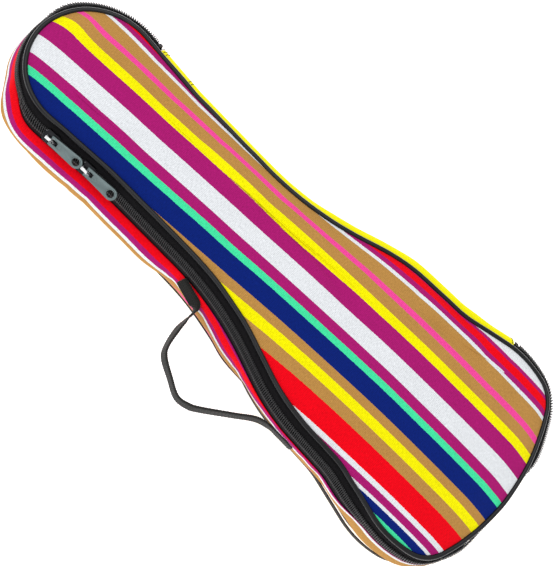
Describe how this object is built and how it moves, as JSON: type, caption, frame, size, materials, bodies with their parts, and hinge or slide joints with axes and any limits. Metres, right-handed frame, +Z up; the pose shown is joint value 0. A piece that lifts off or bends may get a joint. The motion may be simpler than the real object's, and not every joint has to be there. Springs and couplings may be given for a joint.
{
  "type": "ukulele gig bag",
  "caption": "Padded bag for a small ukulele, with a zipped lid that hinges on a cloth strip, two zip sliders with pull tabs and a webbing carrying handle.",
  "frame": {"origin": "centre of the back panel's flat outer face, which the bag lies on", "axes": "+X towards the hinge side, +Y towards the head end, +Z up through the lid"},
  "size_m": [0.2478, 0.5754, 0.0728],
  "materials": {
    "striped_cotton": "woven cotton in lengthwise stripes of magenta, red, yellow, tan, navy, green, white and pink; matte",
    "yellow_cotton": "the same woven cotton, cut from its yellow stripe; matte",
    "foam": "closed-cell foam, matte",
    "lining": "plain black lining cloth",
    "piping_vinyl": "vinyl over cord, satin",
    "binding": "plain black binding tape",
    "zip_tape": "woven polyester zip tape, matte",
    "zip_coil": "nylon coil, satin",
    "thread": "bar-tacked thread",
    "webbing": "ribbed polypropylene webbing",
    "slider_metal": "blackened zinc alloy, worn bright at the corners",
    "pull_metal": "gunmetal plated zinc alloy, satin"
  },
  "bodies": {
    "base": {"back_outer_fabric": "striped_cotton", "back_foam": "foam", "back_lining": "lining", "back_piping": "piping_vinyl", "back_seam_binding": "binding", "gusset_outer_fabric": "striped_cotton", "gusset_foam": "foam", "gusset_lining": "lining", "base_zip_tape": "zip_tape", "base_zip_coil": "zip_coil", "zip_end_tack_head": "thread", "zip_end_tack_foot": "thread", "hinge_strip": "yellow_cotton", "handle_end_upper": "webbing", "handle_end_lower": "webbing"},
    "lid": {"front_outer_fabric": "striped_cotton", "front_foam": "foam", "front_lining": "lining", "front_piping": "piping_vinyl", "front_seam_binding": "binding", "lid_zip_tape": "zip_tape", "lid_zip_coil": "zip_coil"},
    "slider_upper": {"slider_upper_body": "slider_metal", "slider_upper_bridge": "slider_metal"},
    "slider_lower": {"slider_lower_body": "slider_metal", "slider_lower_bridge": "slider_metal"},
    "pull_upper": {"pull_tab_upper": "pull_metal"},
    "pull_lower": {"pull_tab_lower": "pull_metal"},
    "handle": {"handle_webbing": "webbing"}
  },
  "joints": [
    {"name": "lid_hinge", "type": "hinge", "parent": "base", "child": "lid", "pos_m": [0.08151, -0.0005, 0.0686], "axis": [-0.1102, 0.9939, 0], "range_deg": [0, 170], "deforming": ["lid_zip_tape", "lid_zip_coil"]},
    {"name": "slider_upper_travel", "type": "slide", "parent": "base", "child": "slider_upper", "axis": [-0.0737, 0.9973, 0], "range_m": [0, 0.013]},
    {"name": "slider_lower_travel", "type": "slide", "parent": "base", "child": "slider_lower", "axis": [0.0369, -0.9993, 0], "range_m": [0, 0.04]},
    {"name": "pull_upper_swing", "type": "hinge", "parent": "slider_upper", "child": "pull_upper", "pos_m": [-0.06685, 0.19995, 0.06195], "axis": [-0.7052, -0.0521, -0.7071], "range_deg": [0, 175]},
    {"name": "pull_lower_swing", "type": "hinge", "parent": "slider_lower", "child": "pull_lower", "pos_m": [-0.06412, 0.16308, 0.06195], "axis": [-0.7066, -0.0261, -0.7071], "range_deg": [0, 150]},
    {"name": "handle_swing", "type": "hinge", "parent": "base", "child": "handle", "pos_m": [-0.06999, 0.0266, 0.032], "axis": [0.2624, 0.9649, 0], "range_deg": [-40, 100]}
  ]
}
